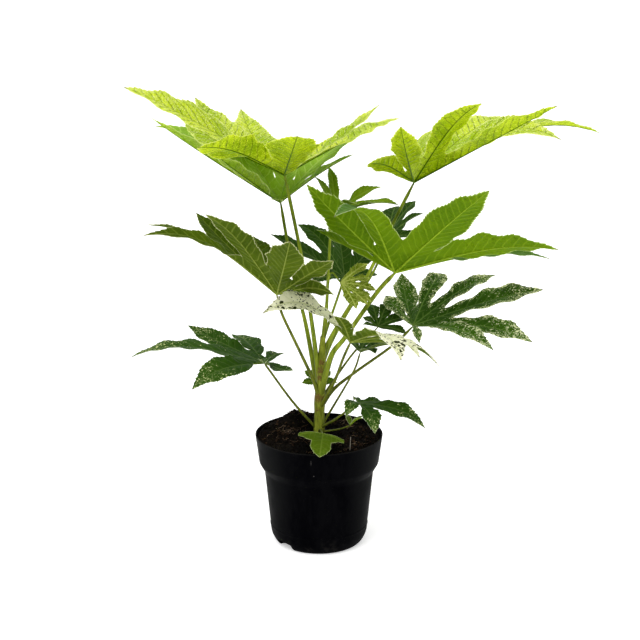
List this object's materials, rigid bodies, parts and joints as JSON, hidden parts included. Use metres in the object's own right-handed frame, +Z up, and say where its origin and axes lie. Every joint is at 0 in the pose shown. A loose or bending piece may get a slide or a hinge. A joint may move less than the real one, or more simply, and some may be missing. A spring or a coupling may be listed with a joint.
{
  "type": "potted fatsia",
  "caption": "Young fatsia shrub with large, deeply lobed leaves on long stalks round a short stem, standing in a black plastic nursery pot filled with soil.",
  "frame": {"origin": "middle of the flat underside of the pot, on the surface that it stands on", "axes": "+Z up along the pot's axis and the stem, -Y towards the front as the picture shows it, +X to the right seen from the front"},
  "size_m": [0.6137, 0.4589, 0.6234],
  "materials": {
    "pot_plastic": "matte black moulded plastic",
    "soil": "dark crumbly potting soil of peat and bark",
    "stem_bark": "pale green young bark with brown leaf scars",
    "leaf_lime": "young yellow-green leaf, smooth with a soft sheen",
    "leaf_green": "mid green leaf, smooth with a soft sheen",
    "leaf_olive": "olive green underside of a leaf, matte",
    "leaf_dark": "dark green leaf flecked with cream, soft sheen",
    "leaf_cream": "cream leaf flecked with dark olive, soft sheen"
  },
  "bodies": {
    "root": {"pot": "pot_plastic", "soil": "soil", "stem": "stem_bark", "leaf_top_left": "leaf_lime", "leaf_second_left": "leaf_green", "leaf_middle_left": "leaf_olive", "leaf_cream": "leaf_cream", "leaf_young_tip": "leaf_lime", "leaf_upper_centre": "leaf_green", "leaf_middle_right": "leaf_green", "leaf_top_right": "leaf_lime", "leaf_back_centre": "leaf_dark", "leaf_back_right": "leaf_dark", "leaf_speckled_right": "leaf_dark", "leaf_low_left": "leaf_dark", "leaf_low_right": "leaf_dark", "leaf_small_folded": "leaf_green", "leaf_small_front": "leaf_green", "leaf_small_behind": "leaf_green", "leaf_under_cream": "leaf_dark", "leaf_behind_speckled": "leaf_dark"}
  },
  "joints": []
}
